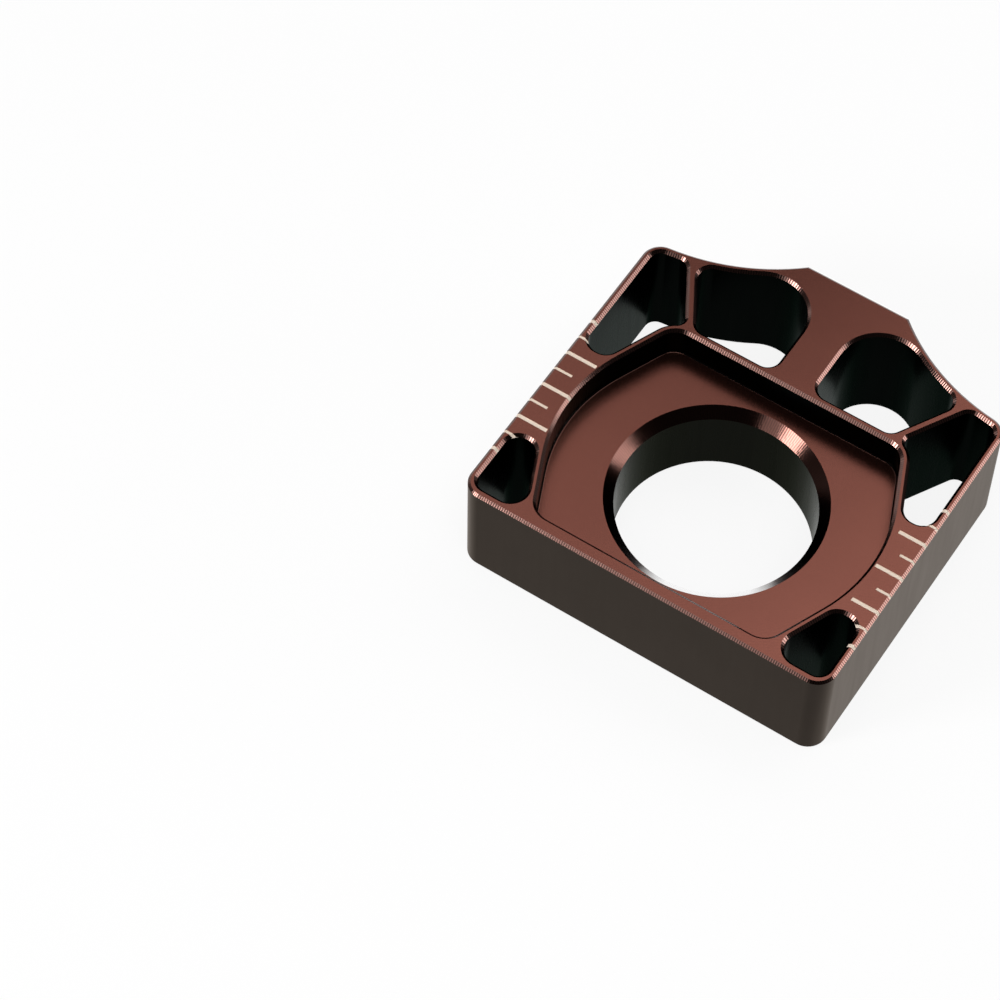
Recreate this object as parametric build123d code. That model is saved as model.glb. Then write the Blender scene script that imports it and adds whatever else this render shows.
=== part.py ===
from build123d import *
from math import cos, radians, tan
import os

# Motorcycle chain adjuster: a milled aluminium block that the rear axle passes through.
# The origin is on the axle's centre line, in the back face. +Z points out of the seat side
# and +Y to the nose. Sizes are in millimetres and angles in degrees.

# Axle bore, with a chamfer where it opens into the seat
axle_diameter = 22.0
axle_clearance = 0.4
bore_chamfer = 1.2

# Seat for the axle's head: two flats, four slanted sides and two round ends
seat_ledge = 2.0
seat_side = 6.6
seat_slant = 23.5
seat_corner_radius = 2.5
seat_depth = 4.0
seat_floor_fillet = 0.2

# Block round the seat
block_thickness = 14.0
side_land = 3.8
front_wall = 1.8
nose_length = 15.4
nose_width = 12.9
shoulder_length = 8.85
scallop_radius = 26.0
corner_radius = 2.3
edge_chamfer = 0.3

# Lightening pockets and the walls between them
rim_wall = 0.9
front_rim_wall = 1.1
seat_wall = 1.0
web_width = 5.1
spoke_width = 1.2
spoke_angle = 30.0
spoke_inset = 1.35
scale_land = 13.9
pocket_corner_radius = 1.6
pocket_end_radius = 1.75
nose_pocket_radius = 5.0
front_pocket_radius = 2.0
spoke_root_radius = 1.0
pocket_chamfer = 0.35

# Engraved scale
mark_pitch = 2.5
marks_per_side = 9
long_mark = 3.65
long_mark_width = 0.45
short_mark = 2.1
short_mark_width = 0.32
mark_offset = 0.3
mark_depth = 0.08

# Derived sizes
bore_radius = (axle_diameter + axle_clearance) / 2
mouth_radius = bore_radius + bore_chamfer
seat_flat = mouth_radius + seat_ledge
seat_radius = mouth_radius + seat_side
seat_floor = block_thickness - seat_depth
half_width = seat_radius + side_land
front_reach = seat_flat + front_wall
shoulder = Vector(half_width, seat_flat + shoulder_length)
nose_corner = Vector(nose_width / 2, seat_flat + nose_length)
scallop = RadiusArc(shoulder, nose_corner, scallop_radius)
rim_x = half_width - rim_wall
rim_front = front_reach - front_rim_wall
rim_corner_radius = corner_radius - rim_wall
nose_pocket_floor = seat_flat + seat_wall
land_y = scale_land / 2


def slant_x(y, grow):
    """X of a slanted seat side, moved out by grow, at the distance y from the axle along Y."""
    tip_x = (seat_radius + grow) / cos(radians(seat_slant))
    return tip_x - y * tan(radians(seat_slant))


def spoke_x(y, side):
    """X of a spoke's face at y: side is -1 for the face towards the nose and 1 for the other."""
    foot_x = slant_x(seat_flat, 0) - spoke_inset
    half_spoke = spoke_width / 2 / cos(radians(spoke_angle))
    lean = (y - nose_pocket_floor) * tan(radians(spoke_angle))
    return foot_x + lean + side * half_spoke


def end_radius():
    """Radius of a pocket's end beside the scale, which has to fit between the rim and the seat wall."""
    room = rim_x - slant_x(land_y, seat_wall)
    widest = room / (1 + tan(radians(45 - seat_slant / 2)))
    return min(pocket_end_radius, 0.95 * widest)


def block_outline():
    right_half = Curve() + [
        Line((0, -front_reach), (half_width, -front_reach)),
        Line((half_width, -front_reach), shoulder),
        scallop,
        Line(nose_corner, (0, nose_corner.Y)),
    ]
    outline = make_face(right_half + mirror(right_half, Plane.YZ))
    side_corners = outline.vertices().sort_by(lambda corner: abs(corner.X))[-4:]
    return fillet(side_corners, corner_radius)


def seat_hexagon(grow):
    """The seat's straight sides, moved out by grow, with the corners at its flats rounded to match."""
    flat_y = seat_flat + grow
    flat_x = slant_x(flat_y, grow)
    tip_x = slant_x(0, grow)
    hexagon = Polygon(
        (tip_x, 0), (flat_x, flat_y), (-flat_x, flat_y),
        (-tip_x, 0), (-flat_x, -flat_y), (flat_x, -flat_y),
        align=None,
    )
    flat_corners = hexagon.vertices().sort_by(lambda corner: abs(corner.Y))[-4:]
    return fillet(flat_corners, seat_corner_radius + grow)


def seat_outline():
    hexagon = seat_hexagon(0)
    tips = hexagon.vertices().sort_by(lambda corner: abs(corner.X))[-2:]
    return fillet(tips, seat_radius)


def scallop_guard():
    """The space outside a scallop, together with the thin wall behind it."""
    return Pos(scallop.arc_center) * Circle(scallop_radius + rim_wall)


def nose_pocket():
    top = scallop.arc_center.Y
    pocket = Polygon(
        (web_width / 2, nose_pocket_floor),
        (spoke_x(nose_pocket_floor, -1), nose_pocket_floor),
        (spoke_x(top, -1), top),
        (web_width / 2, top),
        align=None,
    )
    pocket -= scallop_guard()
    web_top = pocket.vertices().group_by(Axis.X)[0].sort_by(Axis.Y)[-1]
    pocket = fillet(web_top, nose_pocket_radius)
    sharp = pocket.vertices().group_by(Axis.Y)[0] + pocket.vertices().group_by(Axis.X)[-1]
    return fillet(sharp, pocket_corner_radius)


def shoulder_pocket():
    apex_y = nose_pocket_floor + (rim_x - spoke_x(nose_pocket_floor, 1)) / tan(radians(spoke_angle))
    pocket = Polygon((rim_x, land_y), (rim_x, apex_y), (spoke_x(land_y, 1), land_y), align=None)
    pocket = pocket - scallop_guard() - seat_hexagon(seat_wall)
    pocket = fillet(pocket.vertices().sort_by(Axis.X)[0], spoke_root_radius)
    pocket = fillet(pocket.vertices().sort_by(Axis.Y)[-2:], rim_corner_radius)
    return fillet(pocket.vertices().group_by(Axis.Y)[0], end_radius())


def front_pocket():
    pocket = Polygon(
        (rim_x, -land_y),
        (slant_x(land_y, seat_wall), -land_y),
        (slant_x(rim_front, seat_wall), -rim_front),
        (rim_x, -rim_front),
        align=None,
    )
    pocket = fillet(pocket.vertices().group_by(Axis.Y)[0].sort_by(Axis.X)[-1], rim_corner_radius)
    pocket = fillet(pocket.vertices().sort_by(Axis.X)[0], front_pocket_radius)
    return fillet(pocket.vertices().group_by(Axis.Y)[-1], end_radius())


def scale_columns():
    """Upright bars over the scale marks, deep enough for the broken edges that a mark crosses."""
    skin = 2 * max(edge_chamfer, pocket_chamfer)
    bars = Part()
    for side in (-1, 1):
        for step in range(marks_per_side):
            place = step - (marks_per_side - 1) // 2
            is_long = place % 2 == 0
            length = long_mark if is_long else short_mark
            width = long_mark_width if is_long else short_mark_width
            inner_x = side * (half_width - length) + mark_offset
            outer_x = side * (half_width + skin)
            middle = ((inner_x + outer_x) / 2, place * mark_pitch, block_thickness)
            bars += Pos(middle) * Box(abs(outer_x - inner_x), width, 2 * skin)
    return bars


# Milled block
right_pockets = Sketch() + [nose_pocket(), shoulder_pocket(), front_pocket()]
block = extrude(block_outline(), block_thickness)
block -= extrude(right_pockets + mirror(right_pockets, Plane.YZ), block_thickness)
block -= Pos(0, 0, seat_floor) * extrude(seat_outline(), seat_depth)
block -= extrude(Circle(bore_radius), block_thickness)

# Broken edges of the back face and the seat side's face
for end in (0, -1):
    face = block.faces().sort_by(Axis.Z)[end]
    block = chamfer(face.outer_wire().edges(), edge_chamfer)
    face = block.faces().sort_by(Axis.Z)[end]
    block = chamfer([edge for wire in face.inner_wires() for edge in wire.edges()], pocket_chamfer)

# Seat floor, the level face between the other two: a small fillet at its walls and the bore's chamfer
floor = block.faces().filter_by(Axis.Z).sort_by(Axis.Z)[1]
block = fillet(floor.outer_wire().edges(), seat_floor_fillet)
mouth_align = (Align.CENTER, Align.CENTER, Align.MAX)
block -= Pos(0, 0, seat_floor) * Cone(bore_radius, mouth_radius, bore_chamfer, align=mouth_align)

# Engraved scale: the surface under each mark is lowered by the depth of the mark
block -= scale_columns() - Pos(0, 0, -mark_depth) * block

os.makedirs("parts", exist_ok=True)
export_step(block, "parts/axle_block.step")
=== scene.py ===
import math
from collections import namedtuple

import bmesh
import bpy
from bpy.props import FloatProperty, FloatVectorProperty, PointerProperty
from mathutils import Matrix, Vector


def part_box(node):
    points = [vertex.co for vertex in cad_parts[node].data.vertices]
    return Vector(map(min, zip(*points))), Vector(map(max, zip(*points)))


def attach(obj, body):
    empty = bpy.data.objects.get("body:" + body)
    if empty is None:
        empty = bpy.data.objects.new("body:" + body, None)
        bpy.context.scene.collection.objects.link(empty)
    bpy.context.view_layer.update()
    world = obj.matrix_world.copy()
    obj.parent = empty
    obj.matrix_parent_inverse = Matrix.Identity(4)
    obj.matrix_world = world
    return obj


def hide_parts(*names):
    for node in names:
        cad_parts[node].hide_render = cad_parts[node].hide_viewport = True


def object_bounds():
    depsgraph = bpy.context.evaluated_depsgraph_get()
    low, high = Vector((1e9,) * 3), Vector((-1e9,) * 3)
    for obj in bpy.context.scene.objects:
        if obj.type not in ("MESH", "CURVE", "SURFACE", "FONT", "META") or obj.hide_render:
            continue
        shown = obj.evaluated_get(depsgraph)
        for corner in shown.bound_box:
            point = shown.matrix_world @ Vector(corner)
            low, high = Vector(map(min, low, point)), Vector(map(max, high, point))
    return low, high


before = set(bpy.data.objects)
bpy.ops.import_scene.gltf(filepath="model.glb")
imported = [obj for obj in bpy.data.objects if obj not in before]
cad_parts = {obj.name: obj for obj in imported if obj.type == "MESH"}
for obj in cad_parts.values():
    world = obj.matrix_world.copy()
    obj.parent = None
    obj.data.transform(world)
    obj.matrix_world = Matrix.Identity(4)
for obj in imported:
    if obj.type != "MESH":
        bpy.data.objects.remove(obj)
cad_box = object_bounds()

# Looks of a milled and anodised chain adjuster block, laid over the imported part, and a small studio.
# Lengths are in metres, as in the frame, and MM turns millimetres into them.

bl_info = {
    "name": "Anodised axle block",
    "version": (1, 0, 0),
    "blender": (4, 5, 0),
    "location": "View3D > Sidebar > Axle block",
    "description": "Dresses a milled chain adjuster block in brown anodise and sets a studio round it",
    "category": "Object",
}

MM = 0.001
BODY = "root"
NODE = "axle_block"
PIECE = "anodised_axle_block"
EDGE_MAP = "along_edge"
UP = Vector((0, 0, 1))

# A face is level or upright by the size of its normal's height
LEVEL = 0.995
UPRIGHT = 0.05
# Vertices closer than this are one, and heights closer than this are the same
MERGE = 0.001 * MM
SAME_HEIGHT = 0.02 * MM
# An edge between faces that turn by more than this stays crisp
CRISP_ANGLE = math.radians(25)
# A wave texture repeats every tau / 20 of its coordinate at a scale of 1
WAVE_LENGTH = math.tau / 20

# Patterns of the finish: specks of etch, clouds of dye, and streaks that the cutter's side draws upright
GRAIN_DEPTH = 0.004 * MM
FACE_CLOUD = 9 * MM
SIDE_CLOUD = 8 * MM
STREAK_WIDTH = 0.9 * MM
STREAK_STRETCH = (1, 1, 0.08)
CHATTER_DEPTH = 0.005 * MM
MOUTH_CHATTER_DEPTH = 0.002 * MM
# Middle of the arcs that the cutter's feed leaves across the face
FEED_CENTRE = (60 * MM, -90 * MM, 0)

# The studio's walls are pale up to the first elevation and fade out by the second, in degrees
WALL_FADE = (6, 25)

# Softboxes: bearing from +X and elevation in degrees, and brightness, where 1 is white
Softbox = namedtuple("Softbox", "name bearing elevation distance width height brightness")
SOFTBOXES = (
    Softbox("far_left_softbox", 150, 56, 0.40, 0.25, 0.25, 1.06),
    Softbox("far_right_softbox", 73, 56.5, 0.40, 0.28, 0.25, 1.8),
    Softbox("camera_softbox", 300, 72, 0.50, 0.30, 0.30, 4.2),
    Softbox("right_softbox", 29, 13, 0.60, 0.26, 0.13, 7.3),
    Softbox("left_softbox", 234.5, 26.5, 0.60, 0.17, 0.11, 26.5),
    Softbox("front_softbox", 253.5, 29, 0.60, 0.19, 0.13, 2.5),
    Softbox("low_softbox", 170, 5, 0.60, 0.30, 0.08, 1.8),
)


def linear(hex_colour):
    """A colour written as sRGB hex, in the linear values that the shaders take."""
    values = [int(hex_colour[i:i + 2], 16) / 255 for i in (1, 3, 5)]
    return tuple(v / 12.92 if v <= 0.04045 else ((v + 0.055) / 1.055) ** 2.4 for v in values)


class FinishSettings(bpy.types.PropertyGroup):
    """Colours and tool marks of the block's finish."""

    face_colour: FloatVectorProperty(
        name="Milled faces", description="Dye on the level faces", subtype="COLOR", size=3,
        min=0, max=1, default=linear("#74473d"),
    )
    # Painted shade: the sides carry the faces' brown dye, set near black here so that they render dark
    side_painted_shade_colour: FloatVectorProperty(
        name="Outer sides", description="Dye on the block's outer sides", subtype="COLOR", size=3,
        min=0, max=1, default=linear("#1a1614"),
    )
    # Painted shade: the pockets' and seat's walls carry the brown dye too, set near black so that the
    # recesses render dark
    wall_painted_shade_colour: FloatVectorProperty(
        name="Inner walls", description="Dye on the walls of the pockets and the seat",
        subtype="COLOR", size=3, min=0, max=1, default=linear("#070707"),
    )
    # Painted shade: the bore's wall carries the brown dye too, set near black so that the deep hole renders
    # dark
    bore_painted_shade_colour: FloatVectorProperty(
        name="Bore", description="Dye on the bore's wall", subtype="COLOR", size=3,
        min=0, max=1, default=linear("#131311"),
    )
    # Painted shade: the round at the seat's foot is set black so that the crease renders dark
    foot_painted_shade_colour: FloatVectorProperty(
        name="Seat's foot", description="Dye in the round at the seat's foot", subtype="COLOR", size=3,
        min=0, max=1, default=linear("#020202"),
    )
    # Painted shade and highlight: the edges carry the faces' dye, set darker so that edges facing no lamp
    # render dark, and greyer so their glints read pale
    chamfer_painted_shade_colour: FloatVectorProperty(
        name="Chamfers", description="Dye on the broken edges", subtype="COLOR", size=3,
        min=0, max=1, default=linear("#57403b"),
    )
    # Painted shade: the bore's chamfer carries the faces' dye, set darker still so that it renders black
    # where it faces no lamp
    mouth_painted_shade_colour: FloatVectorProperty(
        name="Bore chamfer", description="Dye on the chamfer at the bore's mouth", subtype="COLOR", size=3,
        min=0, max=1, default=linear("#46302b"),
    )
    mark_colour: FloatVectorProperty(
        name="Scale marks", description="Bare metal of the scale", subtype="COLOR", size=3,
        min=0, max=1, default=linear("#e0d0c0"),
    )
    chatter_pitch: FloatProperty(
        name="Chatter pitch", description="Spacing of the cutter's chatter along a chamfer",
        unit="LENGTH", min=0.02 * MM, default=0.28 * MM,
    )
    feed_pitch: FloatProperty(
        name="Feed pitch", description="Spacing of the cutter's feed lines on the level faces",
        unit="LENGTH", min=0.02 * MM, default=0.35 * MM,
    )
    grain_size: FloatProperty(
        name="Etch grain", description="Size of the etched grain under the anodise",
        unit="LENGTH", min=0.01 * MM, default=0.12 * MM,
    )


class StudioSettings(bpy.types.PropertyGroup):
    """Camera, floor, walls and ceiling of the studio."""

    camera_place: FloatVectorProperty(
        name="Camera place", description="Where the camera stands", subtype="TRANSLATION",
        unit="LENGTH", size=3, default=(95.65 * MM, -196.22 * MM, 351.37 * MM),
    )
    camera_turn: FloatVectorProperty(
        name="Camera turn", description="The camera's rotation", subtype="EULER", size=3,
        default=[math.radians(angle) for angle in (32.359, -0.651, 33.204)],
    )
    lens: FloatProperty(
        name="Lens", description="Focal length in millimetres", unit="CAMERA", min=1, default=134.17,
    )
    floor_colour: FloatVectorProperty(
        name="Floor", description="Colour of the floor", subtype="COLOR", size=3,
        min=0, max=1, default=linear("#f7f7f7"),
    )
    floor_reach: FloatProperty(
        name="Floor reach", description="Half the floor's width", unit="LENGTH", min=0.1, default=4.0,
    )
    floor_glow: FloatProperty(
        name="Floor glow", description="Share of the floor's white that no shadow darkens",
        subtype="FACTOR", min=0, max=1, default=0.86,
    )
    sky: FloatProperty(
        name="Sky", description="Brightness of the ceiling", subtype="FACTOR", min=0, max=1, default=0.03,
    )
    horizon: FloatProperty(
        name="Horizon", description="Brightness of the studio's walls, low round the block",
        subtype="FACTOR", min=0, max=1, default=0.4,
    )


def add_node(tree, kind, inputs, **settings):
    """Adds a node with its settings. An input is a value, or the output that feeds it."""
    node = tree.nodes.new(kind)
    for name, value in settings.items():
        setattr(node, name, value)
    for socket, value in inputs.items():
        if isinstance(value, bpy.types.NodeSocket):
            tree.links.new(value, node.inputs[socket])
        else:
            node.inputs[socket].default_value = value
    return node


def new_material(name):
    """An empty node material and its tree."""
    material = bpy.data.materials.new(name)
    material.use_nodes = True
    material.node_tree.nodes.clear()
    return material, material.node_tree


def show(tree, shader):
    """Makes a shader the one that the material shows."""
    add_node(tree, "ShaderNodeOutputMaterial", {"Surface": shader.outputs[0]})


def spread(start, allowed):
    """The faces that can be reached from start through neighbours that allowed accepts."""
    found = set(start)
    front = list(start)
    while front:
        for edge in front.pop().edges:
            for other in edge.link_faces:
                if other not in found and allowed(other):
                    found.add(other)
                    front.append(other)
    return found


def lowest(face):
    """Height of a face's lowest corner."""
    return min(vertex.co.z for vertex in face.verts)


def highest(face):
    """Height of a face's highest corner."""
    return max(vertex.co.z for vertex in face.verts)


def sort_faces(block):
    """The block's faces by finish."""
    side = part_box(NODE)[1].x
    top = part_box(NODE)[1].z
    level = {f for f in block.faces if abs(f.normal.z) > LEVEL}
    upright = {f for f in block.faces if abs(f.normal.z) < UPRIGHT}
    sloping = set(block.faces) - level - upright
    heights = sorted({round(lowest(f) / SAME_HEIGHT) * SAME_HEIGHT for f in level if f.normal.z > 0})
    seat_floor, mark_floor = heights[0], heights[-2]

    # A mark's floor is level, then slopes where the mark crosses the broken edges, between upright walls
    mark_floors = {f for f in level if abs(lowest(f) - mark_floor) < SAME_HEIGHT}
    marks = spread(mark_floors, lambda f: f.normal.z > UPRIGHT and highest(f) < top - SAME_HEIGHT)
    marks |= {f for f in upright if lowest(f) > (seat_floor + 3 * top) / 4}
    seat = {f for f in level if abs(lowest(f) - seat_floor) < SAME_HEIGHT}
    above_seat = {f for f in sloping if lowest(f) > seat_floor - SAME_HEIGHT}
    fillet = {f for f in above_seat if highest(f) < (seat_floor + top) / 2}
    mouth = {f for f in sloping if 2 * lowest(f) > seat_floor and highest(f) < seat_floor + SAME_HEIGHT}
    outer = {f for f in upright - marks if max(abs(v.co.x) for v in f.verts) > side - SAME_HEIGHT}
    outside = spread(outer, lambda f: f in upright and f not in marks)
    beside_mouth = {f for face in mouth for edge in face.edges for f in edge.link_faces if f in upright}
    bore = spread(beside_mouth, lambda f: f in upright)
    walls = upright - outside - marks - bore
    faces = level - marks - seat
    chamfers = sloping - marks - fillet - mouth
    return {
        milled_face: faces, milled_seat: seat, rounded_foot: fillet,
        milled_side: outside, milled_wall: walls, bored_wall: bore,
        cut_chamfer: chamfers, turned_mouth: mouth, laser_mark: marks,
    }


def lay_edge_map(block, faces):
    """Unrolls chamfers into a UV map in metres: U runs along the edge, and V is the height."""
    layer = block.loops.layers.uv.new(EDGE_MAP)
    waiting = set(faces)
    # Edges are taken in the mesh's own order, so that each run lays the same map
    for start in block.faces:
        if start not in waiting:
            continue
        waiting.remove(start)
        front = [(start, start.verts[0].co, 0.0)]
        while front:
            face, known, length = front.pop()
            along = UP.cross(face.normal).normalized()
            for corner in face.loops:
                corner[layer].uv = (length + along.dot(corner.vert.co - known), corner.vert.co.z)
            for edge in face.edges:
                shared = edge.verts[0].co
                for other in waiting.intersection(edge.link_faces):
                    waiting.remove(other)
                    front.append((other, shared, length + along.dot(shared - known)))


class AXLEBLOCK_OT_dress(bpy.types.Operator):
    """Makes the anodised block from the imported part"""

    bl_idname = "axle_block.dress"
    bl_label = "Dress the block"

    def execute(self, context):
        settings = context.scene.axle_block_finish
        block = bmesh.new()
        block.from_mesh(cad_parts[NODE].data)
        bmesh.ops.remove_doubles(block, verts=block.verts, dist=MERGE)
        finishes = sort_faces(block)
        mesh = bpy.data.meshes.new(PIECE)
        for index, (finish, faces) in enumerate(finishes.items()):
            mesh.materials.append(finish(settings))
            for face in faces:
                face.material_index = index
                face.smooth = True
        for edge in block.edges:
            edge.smooth = edge.calc_face_angle() < CRISP_ANGLE
        lay_edge_map(block, finishes[cut_chamfer] | finishes[turned_mouth])
        block.to_mesh(mesh)
        block.free()
        piece = bpy.data.objects.new(PIECE, mesh)
        context.scene.collection.objects.link(piece)
        flat = piece.modifiers.new("Flat faces stay flat", "WEIGHTED_NORMAL")
        flat.keep_sharp = True
        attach(piece, BODY)
        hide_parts(NODE)
        return {"FINISHED"}


def dye(tree, colour, tone, contrast):
    """The dye's colour, made darker and lighter by the share contrast as tone goes from 0 to 1."""
    shade = add_node(tree, "ShaderNodeMapRange", {
        "Value": tone, "To Min": 1 - contrast, "To Max": 1 + contrast,
    })
    tinted = add_node(tree, "ShaderNodeVectorMath", {
        "Vector": colour, "Scale": shade.outputs[0],
    }, operation="SCALE")
    return tinted.outputs["Vector"]


def speckle(tree, size, detail, stretch=(1, 1, 1)):
    """A random tone over the block, about 0 to 1, in specks of this size, longer where stretch is small."""
    place = add_node(tree, "ShaderNodeTexCoord", {}).outputs["Object"]
    drawn = add_node(tree, "ShaderNodeMapping", {"Vector": place, "Scale": stretch})
    noise = add_node(tree, "ShaderNodeTexNoise", {
        "Vector": drawn.outputs[0], "Scale": 1 / size, "Detail": detail,
    })
    return noise.outputs[0]


def milled_level(name, settings, feed_centre):
    """Level face, milled in arcs round feed_centre, etched and dyed: satin brown with faint feed lines."""
    material, tree = new_material(name)
    grain = speckle(tree, settings.grain_size, 2.0)
    cloud = speckle(tree, FACE_CLOUD, 3.0)
    place = add_node(tree, "ShaderNodeTexCoord", {}).outputs["Object"]
    centred = add_node(tree, "ShaderNodeMapping", {"Vector": place, "Location": [-c for c in feed_centre]})
    feed = add_node(tree, "ShaderNodeTexWave", {
        "Vector": centred.outputs[0], "Scale": WAVE_LENGTH / settings.feed_pitch,
        "Distortion": 1.5, "Detail": 2.0, "Detail Scale": 0.3,
    }, wave_type="RINGS", rings_direction="Z")
    both = add_node(tree, "ShaderNodeMath", {0: cloud, 1: grain}, operation="ADD")
    tone = add_node(tree, "ShaderNodeMath", {0: both.outputs[0], 1: 0.5}, operation="MULTIPLY")
    rough = add_node(tree, "ShaderNodeMapRange", {
        "Value": feed.outputs["Fac"], "To Min": 0.248, "To Max": 0.272,
    })
    relief = add_node(tree, "ShaderNodeBump", {"Height": grain, "Strength": 0.1, "Distance": GRAIN_DEPTH})
    show(tree, add_node(tree, "ShaderNodeBsdfPrincipled", {
        "Base Color": dye(tree, settings.face_colour, tone.outputs[0], 0.15), "Metallic": 1.0,
        "Roughness": rough.outputs[0], "Normal": relief.outputs[0],
    }))
    return material


def milled_face(settings):
    """Face beside the seat and the back face, with the cutter's feed in wide arcs across the block."""
    return milled_level("face_milled_brown_anodised_aluminium", settings, FEED_CENTRE)


def milled_seat(settings):
    """Floor of the seat, with the cutter's feed in rings round the bore."""
    return milled_level("seat_milled_brown_anodised_aluminium", settings, (0, 0, 0))


def rounded_foot(settings):
    """Small round at the seat's foot, left by the cutter's corner: painted shade in the crease, black and
    matt.
    """
    material, tree = new_material("foot_rounded_brown_anodised_aluminium")
    show(tree, add_node(tree, "ShaderNodeBsdfPrincipled", {
        "Base Color": (*settings.foot_painted_shade_colour, 1), "Metallic": 1.0, "Roughness": 0.4,
    }))
    return material


def milled_side(settings):
    """Flanks, cut with the side of the cutter: dark from painted shade, a darker copy of the face dye,
    glossier at a slant, with faint upright streaks.
    """
    material, tree = new_material("flank_milled_brown_anodised_aluminium")
    streak = speckle(tree, STREAK_WIDTH, 3.0, STREAK_STRETCH)
    cloud = speckle(tree, SIDE_CLOUD, 3.0)
    grain = speckle(tree, settings.grain_size, 2.0)
    rough = add_node(tree, "ShaderNodeMapRange", {"Value": streak, "To Min": 0.32, "To Max": 0.38})
    relief = add_node(tree, "ShaderNodeBump", {"Height": grain, "Strength": 0.15, "Distance": GRAIN_DEPTH})
    show(tree, add_node(tree, "ShaderNodeBsdfPrincipled", {
        "Base Color": dye(tree, settings.side_painted_shade_colour, cloud, 0.4), "Metallic": 1.0,
        "Roughness": rough.outputs[0], "Specular Tint": (0.89, 0.82, 0.76, 1), "Normal": relief.outputs[0],
    }))
    return material


def deep_cut(name, colour, painted_gloss_tint):
    """Wall cut deep with a long tool: almost black from painted shade, glossy at a slant, with upright
    streaks.
    """
    material, tree = new_material(name)
    streak = speckle(tree, STREAK_WIDTH, 3.0, STREAK_STRETCH)
    rough = add_node(tree, "ShaderNodeMapRange", {"Value": streak, "To Min": 0.22, "To Max": 0.32})
    # The slant tint dims the wall's gloss and turns it grey-green: a painted reflection colour
    show(tree, add_node(tree, "ShaderNodeBsdfPrincipled", {
        "Base Color": dye(tree, colour, streak, 0.2), "Metallic": 1.0,
        "Roughness": rough.outputs[0], "Specular Tint": painted_gloss_tint,
    }))
    return material


def milled_wall(settings):
    """Walls of the pockets and the seat: painted shade, near black, with a dim gloss in a painted
    green-grey tint.
    """
    return deep_cut("pocket_milled_brown_anodised_aluminium", settings.wall_painted_shade_colour, (0.5, 0.52, 0.51, 1))


def bored_wall(settings):
    """Wall of the bore: painted shade, near black and a little lighter than the pockets, with the same dim
    gloss in a painted tint.
    """
    return deep_cut("bore_bored_brown_anodised_aluminium", settings.bore_painted_shade_colour, (0.53, 0.54, 0.52, 1))


def chatter(tree, settings, depth):
    """Ribs across an edge from the chamfer tool's chatter, drawn a little coarse: their tone, which the
    chamfers use for a painted hatch of highlights, and their relief as a normal.
    """
    along = add_node(tree, "ShaderNodeUVMap", {}, uv_map=EDGE_MAP).outputs[0]
    ribs_and_painted_hatch = add_node(tree, "ShaderNodeTexWave", {
        "Vector": along, "Scale": WAVE_LENGTH / settings.chatter_pitch,
        "Distortion": 1.2, "Detail": 1.0, "Detail Scale": 0.2,
    }, wave_type="BANDS", bands_direction="X").outputs["Fac"]
    relief = add_node(tree, "ShaderNodeBump", {"Height": ribs_and_painted_hatch, "Strength": 1.0, "Distance": depth})
    return ribs_and_painted_hatch, relief.outputs[0]


def cut_chamfer(settings):
    """Broken edges, cut with a chamfer tool: glossy, in a darker and greyer copy of the face dye as painted
    shade, with a fine hatch where they catch a lamp.
    """
    material, tree = new_material("chamfer_cut_brown_anodised_aluminium")
    ribs_and_painted_hatch, normal = chatter(tree, settings, CHATTER_DEPTH)
    # The ribs also darken and lighten the colour: a painted hatch of highlights beside the relief's own
    show(tree, add_node(tree, "ShaderNodeBsdfPrincipled", {
        "Base Color": dye(tree, settings.chamfer_painted_shade_colour, ribs_and_painted_hatch, 0.55), "Metallic": 1.0,
        "Roughness": 0.16, "Normal": normal,
    }))
    return material


def turned_mouth(settings):
    """Chamfer at the bore's mouth: smooth and glossy, in a darker copy of the dye as painted shade, and at
    a steep slant it mirrors the paper below.
    """
    material, tree = new_material("bore_chamfered_brown_anodised_aluminium")
    ribs_and_painted_hatch, normal = chatter(tree, settings, MOUTH_CHATTER_DEPTH)
    slant = add_node(tree, "ShaderNodeLayerWeight", {"Blend": 0.5}).outputs["Facing"]
    share = add_node(tree, "ShaderNodeMapRange", {"Value": slant, "From Min": 0.675, "From Max": 0.73})
    # The ribs also darken and lighten the colour: painted lines of highlight in the chamfer's glints
    # A colour Mix takes its factor in socket 0 and its colours in sockets 6 and 7, and gives output 2
    tint = add_node(tree, "ShaderNodeMix", {
        0: share.outputs[0], 6: dye(tree, settings.mouth_painted_shade_colour, ribs_and_painted_hatch, 0.3), 7: (1, 1, 1, 1),
    }, data_type="RGBA")
    show(tree, add_node(tree, "ShaderNodeBsdfPrincipled", {
        "Base Color": tint.outputs[2], "Metallic": 1.0, "Roughness": 0.14, "Normal": normal,
    }))
    return material


def laser_mark(settings):
    """Marks burnt through the dye to bare metal: matt, pale and faintly warm."""
    material, tree = new_material("laser_marked_bare_aluminium")
    grain = speckle(tree, settings.grain_size, 2.0)
    show(tree, add_node(tree, "ShaderNodeBsdfPrincipled", {
        "Base Color": dye(tree, settings.mark_colour, grain, 0.2), "Roughness": 0.7,
    }))
    return material


class AXLEBLOCK_OT_stage(bpy.types.Operator):
    """Sets the floor, the lamps, the sky and the camera"""

    bl_idname = "axle_block.stage"
    bl_label = "Set the stage"

    def execute(self, context):
        settings = context.scene.axle_block_studio
        lay_floor(context, settings)
        for softbox in SOFTBOXES:
            hang_softbox(context, softbox)
        light_sky(context, settings)
        place_camera(context, settings)
        context.scene.view_settings.view_transform = "Standard"
        return {"FINISHED"}


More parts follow.
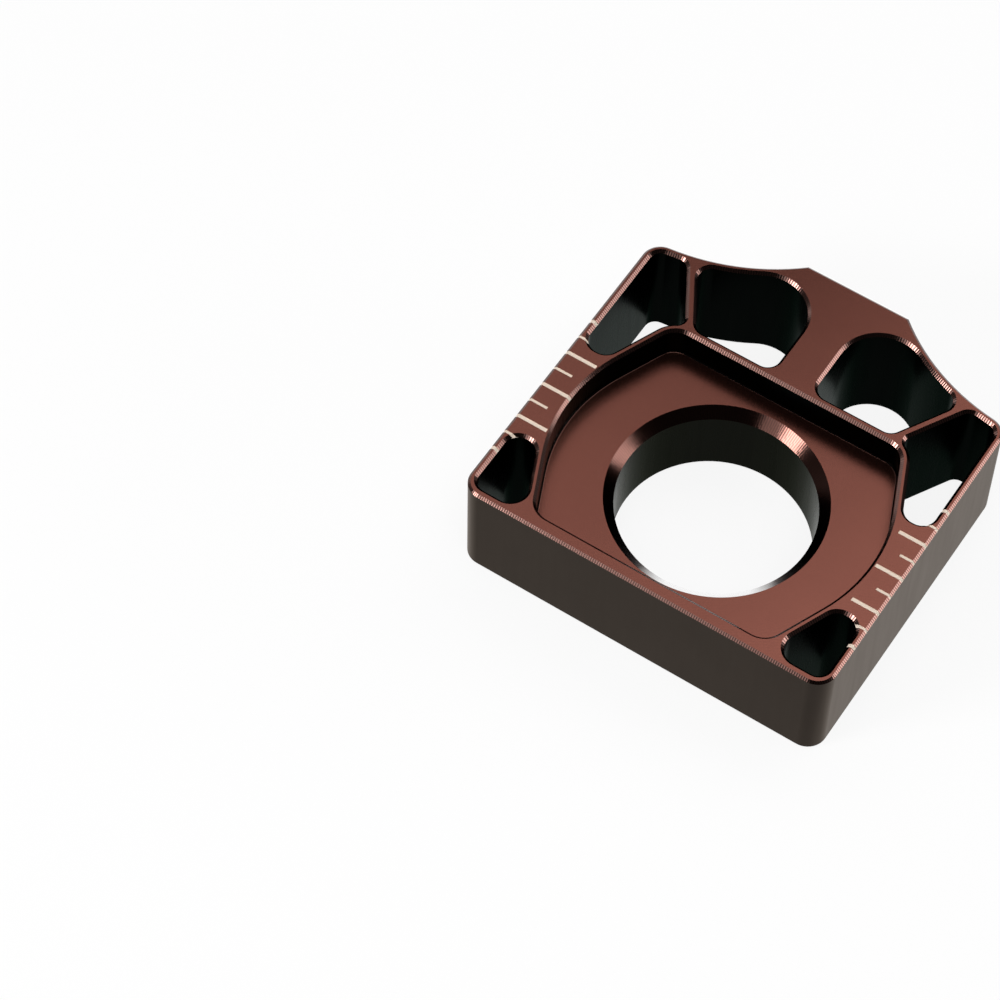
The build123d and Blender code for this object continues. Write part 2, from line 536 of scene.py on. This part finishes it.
def lay_floor(context, settings):
    """Lays a sheet of paper just under the block."""
    mesh = bpy.data.meshes.new("studio_floor")
    sheet = bmesh.new()
    bmesh.ops.create_grid(sheet, x_segments=1, y_segments=1, size=settings.floor_reach)
    bmesh.ops.translate(sheet, verts=sheet.verts, vec=UP * (cad_box[0].z - SAME_HEIGHT))
    sheet.to_mesh(mesh)
    sheet.free()
    mesh.materials.append(floor_paper(settings))
    floor = bpy.data.objects.new("studio_floor", mesh)
    context.scene.collection.objects.link(floor)


def floor_paper(settings):
    """Matt white paper, lit a little from below, so it stays white beside the block and in its holes."""
    material, tree = new_material("matt_white_paper")
    ray = add_node(tree, "ShaderNodeLightPath", {})
    seen = ray.outputs["Is Camera Ray"]
    for kind in ("Is Glossy Ray", "Is Transmission Ray"):
        either = add_node(tree, "ShaderNodeMath", {0: seen, 1: ray.outputs[kind]}, operation="MAXIMUM")
        seen = either.outputs[0]
    share = add_node(tree, "ShaderNodeMath", {0: seen, 1: settings.floor_glow}, operation="MULTIPLY")
    paper = add_node(tree, "ShaderNodeBsdfDiffuse", {"Color": (*settings.floor_colour, 1)})
    glow = add_node(tree, "ShaderNodeEmission", {"Color": (1, 1, 1, 1), "Strength": 1.0})
    show(tree, add_node(tree, "ShaderNodeMixShader", {
        0: share.outputs[0], 1: paper.outputs[0], 2: glow.outputs[0],
    }))
    return material


def hang_softbox(context, softbox):
    """Hangs a lamp that faces the block's middle."""
    lamp = bpy.data.lights.new(softbox.name, "AREA")
    lamp.shape = "RECTANGLE"
    lamp.size = softbox.width
    lamp.size_y = softbox.height
    # An area lamp is as bright as its power over pi times its area
    lamp.energy = math.pi * softbox.width * softbox.height * softbox.brightness
    holder = bpy.data.objects.new(softbox.name, lamp)
    bearing = math.radians(softbox.bearing)
    elevation = math.radians(softbox.elevation)
    level = math.cos(elevation)
    outward = Vector((level * math.cos(bearing), level * math.sin(bearing), math.sin(elevation)))
    holder.location = (cad_box[0] + cad_box[1]) / 2 + softbox.distance * outward
    holder.rotation_euler = outward.to_track_quat("Z", "Y").to_euler()
    holder.visible_camera = False
    context.scene.collection.objects.link(holder)


def light_sky(context, settings):
    """Pale walls that fade into a dark ceiling, so that the level faces have a sheen in low views."""
    world = bpy.data.worlds.new("studio_sky")
    world.use_nodes = True
    tree = world.node_tree
    tree.nodes.clear()
    outward = add_node(tree, "ShaderNodeTexCoord", {}).outputs["Generated"]
    height = add_node(tree, "ShaderNodeSeparateXYZ", {"Vector": outward}).outputs["Z"]
    fade_from, fade_to = (math.sin(math.radians(elevation)) for elevation in WALL_FADE)
    strength = add_node(tree, "ShaderNodeMapRange", {
        "Value": height, "From Min": fade_from, "From Max": fade_to,
        "To Min": settings.horizon, "To Max": settings.sky,
    })
    light = add_node(tree, "ShaderNodeBackground", {
        "Color": (1, 1, 1, 1), "Strength": strength.outputs[0],
    })
    add_node(tree, "ShaderNodeOutputWorld", {"Surface": light.outputs[0]})
    context.scene.world = world


def place_camera(context, settings):
    """Sets up the camera of the main view."""
    camera = bpy.data.cameras.new("camera")
    camera.lens = settings.lens
    holder = bpy.data.objects.new("camera", camera)
    holder.location = settings.camera_place
    holder.rotation_euler = settings.camera_turn
    context.scene.collection.objects.link(holder)
    context.scene.camera = holder


class AXLEBLOCK_PT_panel(bpy.types.Panel):
    """Sidebar panel with the finish, the studio and their operators"""

    bl_idname = "AXLEBLOCK_PT_panel"
    bl_label = "Axle block"
    bl_space_type = "VIEW_3D"
    bl_region_type = "UI"
    bl_category = "Axle block"

    def draw(self, context):
        scene = context.scene
        steps = (
            (scene.axle_block_finish, AXLEBLOCK_OT_dress),
            (scene.axle_block_studio, AXLEBLOCK_OT_stage),
        )
        for settings, operator in steps:
            column = self.layout.column()
            for name in type(settings).__annotations__:
                column.prop(settings, name)
            column.operator(operator.bl_idname)


CLASSES = (FinishSettings, StudioSettings, AXLEBLOCK_OT_dress, AXLEBLOCK_OT_stage, AXLEBLOCK_PT_panel)


def register():
    for cls in CLASSES:
        bpy.utils.register_class(cls)
    bpy.types.Scene.axle_block_finish = PointerProperty(type=FinishSettings)
    bpy.types.Scene.axle_block_studio = PointerProperty(type=StudioSettings)


def unregister():
    del bpy.types.Scene.axle_block_studio
    del bpy.types.Scene.axle_block_finish
    for cls in reversed(CLASSES):
        bpy.utils.unregister_class(cls)


def main():
    register()
    bpy.ops.axle_block.dress()
    bpy.ops.axle_block.stage()


if __name__ == "__main__":
    main()
